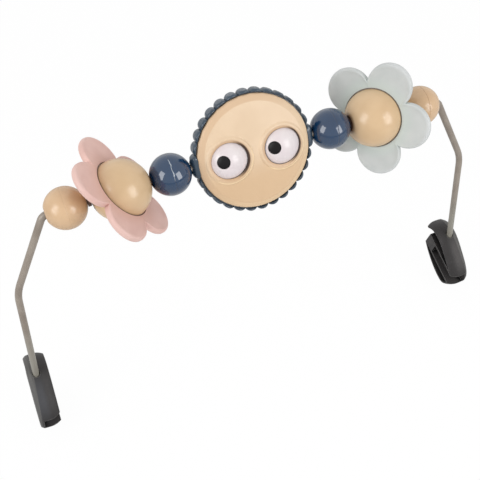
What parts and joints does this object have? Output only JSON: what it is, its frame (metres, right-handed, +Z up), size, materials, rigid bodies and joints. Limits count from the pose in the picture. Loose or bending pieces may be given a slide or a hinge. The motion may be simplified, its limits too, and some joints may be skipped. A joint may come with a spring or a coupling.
{
  "type": "bouncer toy bar",
  "caption": "Bent steel toy bar for a baby bouncer with spinning beads, tilted flowers and a turning face with rolling eyes, ending in rail clips.",
  "frame": {"origin": "midway between the two rail channels, in the plane of the bent rod, which the mount clip_seats names", "axes": "+X along the bar to the child-side viewer's right, -Y towards the child, +Z up from the clips to the bar"},
  "size_m": [0.4738, 0.093, 0.3101],
  "materials": {
    "painted_steel": "warm grey satin powder coat",
    "beige_plastic": "satin beige, fine moulded grain",
    "skin_plastic": "satin pale beige",
    "navy_plastic": "glossy navy",
    "pink_plastic": "matte dusty pink",
    "mint_plastic": "matte pale grey green",
    "eye_white": "glossy white",
    "pupil_black": "glossy black",
    "clip_grey": "fine grained dark grey",
    "dark_nylon": "dark brown bushing plastic",
    "screw_steel": "zinc plated"
  },
  "bodies": {
    "frame": {"rod": "painted_steel", "clip_left": "clip_grey", "clip_right": "clip_grey", "washer_left": "dark_nylon", "washer_right": "dark_nylon"},
    "end_bead_left": {"end_bead_left": "beige_plastic"},
    "end_bead_right": {"end_bead_right": "beige_plastic"},
    "blue_bead_left": {"blue_bead_left": "navy_plastic"},
    "blue_bead_right": {"blue_bead_right": "navy_plastic"},
    "flower_pink": {"flower_pink_petals": "pink_plastic", "flower_pink_ball_front": "beige_plastic", "flower_pink_ball_back": "beige_plastic", "flower_pink_sleeve": "dark_nylon"},
    "flower_mint": {"flower_mint_petals": "mint_plastic", "flower_mint_ball_front": "beige_plastic", "flower_mint_ball_back": "beige_plastic", "flower_mint_sleeve": "dark_nylon"},
    "face": {"face_front": "skin_plastic", "face_back": "skin_plastic", "face_rim": "navy_plastic", "face_sleeve": "dark_nylon", "face_screw_1": "screw_steel", "face_screw_2": "screw_steel", "face_screw_3": "screw_steel", "face_screw_4": "screw_steel"},
    "eye_left": {"eye_left_ball": "eye_white", "eye_left_pupil": "pupil_black"},
    "eye_right": {"eye_right_ball": "eye_white", "eye_right_pupil": "pupil_black"}
  },
  "joints": [
    {"name": "end_bead_left_spin", "type": "hinge", "parent": "frame", "child": "end_bead_left", "pos_m": [-0.15422, 0, 0.22434], "axis": [0.9985, 0, 0.0539], "continuous": true},
    {"name": "flower_pink_spin", "type": "hinge", "parent": "frame", "child": "flower_pink", "pos_m": [-0.11029, 0, 0.22637], "axis": [0.9993, 0, 0.0385], "continuous": true},
    {"name": "blue_bead_left_spin", "type": "hinge", "parent": "frame", "child": "blue_bead_left", "pos_m": [-0.06944, 0, 0.22766], "axis": [0.9997, 0, 0.0242], "continuous": true},
    {"name": "face_spin", "type": "hinge", "parent": "frame", "child": "face", "pos_m": [0, 0, 0.2285], "axis": [1, 0, 0], "continuous": true},
    {"name": "eye_left_spin", "type": "hinge", "parent": "face", "child": "eye_left", "pos_m": [-0.0223, 0, 0.2285], "axis": [1, 0, 0], "continuous": true},
    {"name": "eye_right_spin", "type": "hinge", "parent": "face", "child": "eye_right", "pos_m": [0.0223, 0, 0.2285], "axis": [1, 0, 0], "continuous": true},
    {"name": "blue_bead_right_spin", "type": "hinge", "parent": "frame", "child": "blue_bead_right", "pos_m": [0.06944, 0, 0.22766], "axis": [0.9997, 0, -0.0242], "continuous": true},
    {"name": "flower_mint_spin", "type": "hinge", "parent": "frame", "child": "flower_mint", "pos_m": [0.11029, 0, 0.22637], "axis": [0.9993, 0, -0.0385], "continuous": true},
    {"name": "end_bead_right_spin", "type": "hinge", "parent": "frame", "child": "end_bead_right", "pos_m": [0.15422, 0, 0.22434], "axis": [0.9985, 0, -0.0539], "continuous": true}
  ]
}
